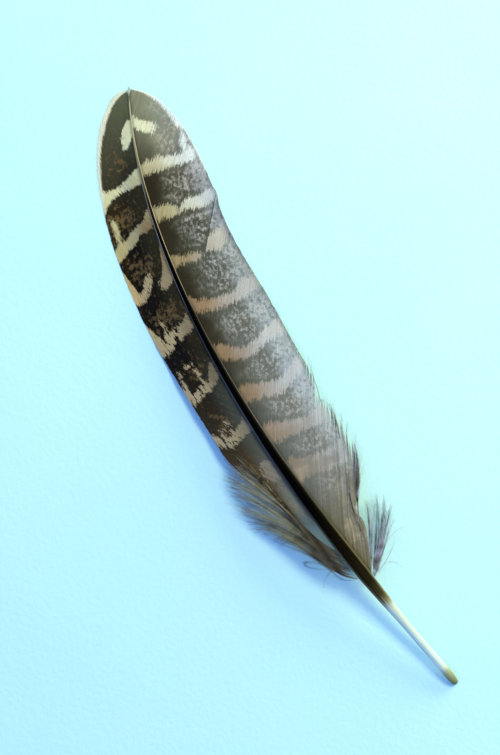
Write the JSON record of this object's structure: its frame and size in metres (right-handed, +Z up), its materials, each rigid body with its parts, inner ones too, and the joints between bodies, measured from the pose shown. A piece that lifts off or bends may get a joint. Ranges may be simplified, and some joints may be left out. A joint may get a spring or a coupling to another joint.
{
  "type": "turkey wing feather",
  "caption": "Barred wing feather with a horn shaft, a narrow and a wide vane and loose down at the base, lying flat on its underside.",
  "frame": {"origin": "middle of the bounding box, on the surface that the feather lies on", "axes": "+Y from the quill's end to the tip, +Z up from the surface, +X towards the wide vane"},
  "size_m": [0.0586, 0.3006, 0.0152],
  "materials": {
    "horn": "smooth keratin, near black along the vanes and pale cream on the bare quill",
    "dark_vane": "barbed keratin, dark brown with cream and orange-brown bars",
    "grey_vane": "barbed keratin, brown to grey with buff and pinkish cream bars",
    "down": "loose downy barbs, grey-brown"
  },
  "bodies": {
    "root": {"shaft": "horn", "narrow_vane": "dark_vane", "wide_vane": "grey_vane", "down_narrow_side": "down", "down_wide_side": "down"}
  },
  "joints": []
}
